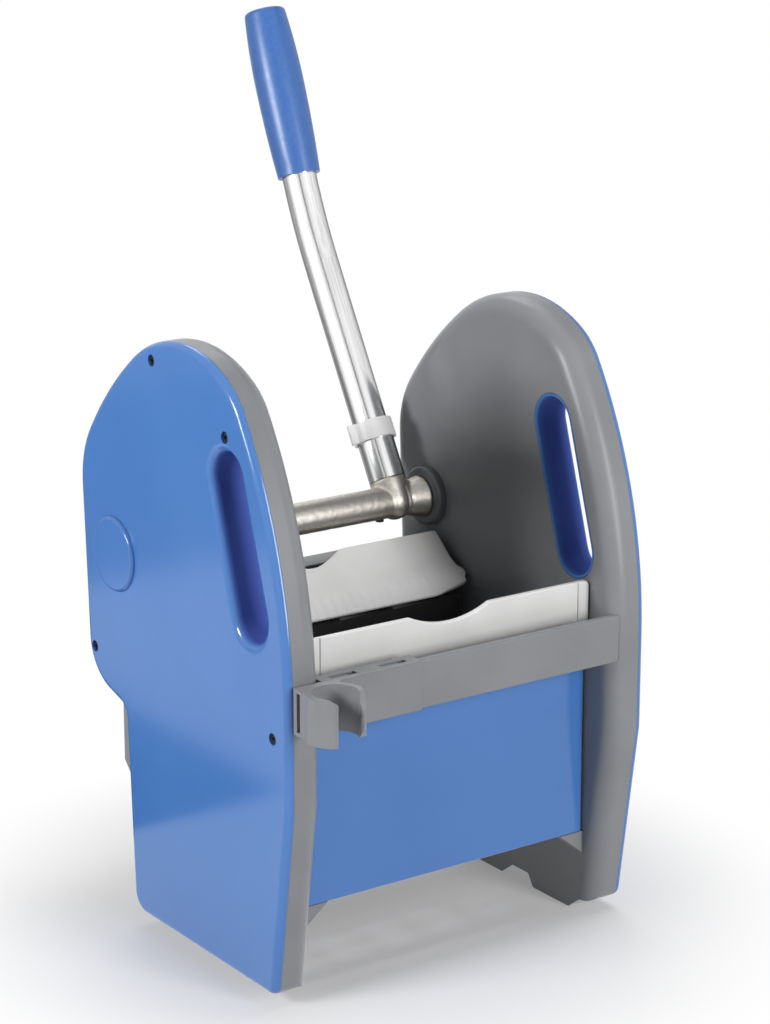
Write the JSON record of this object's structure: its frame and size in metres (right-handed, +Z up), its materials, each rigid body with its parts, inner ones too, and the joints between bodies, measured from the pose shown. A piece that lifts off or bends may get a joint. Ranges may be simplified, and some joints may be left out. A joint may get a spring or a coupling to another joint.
{
  "type": "mop wringer",
  "caption": "Upright lever mop wringer: geared side housings with hand slots, a fixed front jaw, a swinging rear jaw, feet and a clip for the mop handle.",
  "frame": {"origin": "on the floor below the middle of the bounding box", "axes": "+X to the lever's side, +Y to the back, +Z up"},
  "size_m": [0.294, 0.4239, 0.5985],
  "materials": {
    "blue_plastic": "moulded gloss blue",
    "grey_plastic": "moulded satin grey",
    "white_plastic": "moulded satin white",
    "dark_plastic": "moulded satin dark grey",
    "collar_plastic": "moulded natural white",
    "gear_plastic": "moulded nylon",
    "tube_aluminium": "drawn, polished",
    "shaft_steel": "zinc coated",
    "cast_tee": "galvanised casting",
    "screw_steel": "zinc coated"
  },
  "bodies": {
    "frame": {"right_side_panel": "grey_plastic", "left_side_panel": "grey_plastic", "right_cover": "blue_plastic", "left_cover": "blue_plastic", "right_cover_screws": "screw_steel", "left_cover_screws": "screw_steel", "front_crossbar": "grey_plastic", "rear_crossbar": "grey_plastic", "right_bar_screws": "screw_steel", "left_bar_screws": "screw_steel", "mop_handle_clip": "grey_plastic", "front_panel": "blue_plastic", "front_jaw": "white_plastic", "rear_panel": "grey_plastic", "drain_grid": "grey_plastic", "right_axle_bush": "dark_plastic", "left_axle_bush": "dark_plastic", "right_shaft_bush": "dark_plastic", "left_shaft_bush": "dark_plastic", "right_idler_pin": "shaft_steel", "left_idler_pin": "shaft_steel"},
    "lever": {"lever_shaft": "shaft_steel", "lever_tee": "cast_tee", "tee_screw": "screw_steel", "lever_socket": "tube_aluminium", "lever_core": "shaft_steel", "lever_collar": "collar_plastic", "lever_tube": "tube_aluminium", "lever_grip": "blue_plastic", "right_pinion": "gear_plastic", "left_pinion": "gear_plastic", "right_shaft_end_screw": "screw_steel", "left_shaft_end_screw": "screw_steel"},
    "jaw": {"jaw_carrier": "dark_plastic", "rear_jaw": "white_plastic", "jaw_axle": "shaft_steel", "right_sector_gear": "gear_plastic", "left_sector_gear": "gear_plastic", "right_axle_end_screw": "screw_steel", "left_axle_end_screw": "screw_steel"},
    "right_idler": {"right_idler_gear": "gear_plastic"},
    "left_idler": {"left_idler_gear": "gear_plastic"}
  },
  "joints": [
    {"name": "lever_hinge", "type": "hinge", "parent": "frame", "child": "lever", "pos_m": [0, 0.03478, 0.2607], "axis": [1, 0, 0], "range_deg": [0, 90]},
    {"name": "jaw_hinge", "type": "hinge", "parent": "frame", "child": "jaw", "pos_m": [0, -0.0735, 0.0889], "axis": [1, 0, 0], "range_deg": [0, 40.5]},
    {"name": "right_idler_spin", "type": "hinge", "parent": "frame", "child": "right_idler", "pos_m": [0.1295, -0.04409, 0.21142], "axis": [1, 0, 0], "range_deg": [-36.82, 0]},
    {"name": "left_idler_spin", "type": "hinge", "parent": "frame", "child": "left_idler", "pos_m": [-0.1295, -0.04409, 0.21142], "axis": [1, 0, 0], "range_deg": [-36.82, 0]}
  ],
  "couplings": [
    {"joint": "jaw_hinge", "follows": "lever_hinge", "ratio": 0.45},
    {"joint": "right_idler_spin", "follows": "lever_hinge", "ratio": -0.40909},
    {"joint": "left_idler_spin", "follows": "lever_hinge", "ratio": -0.40909}
  ]
}
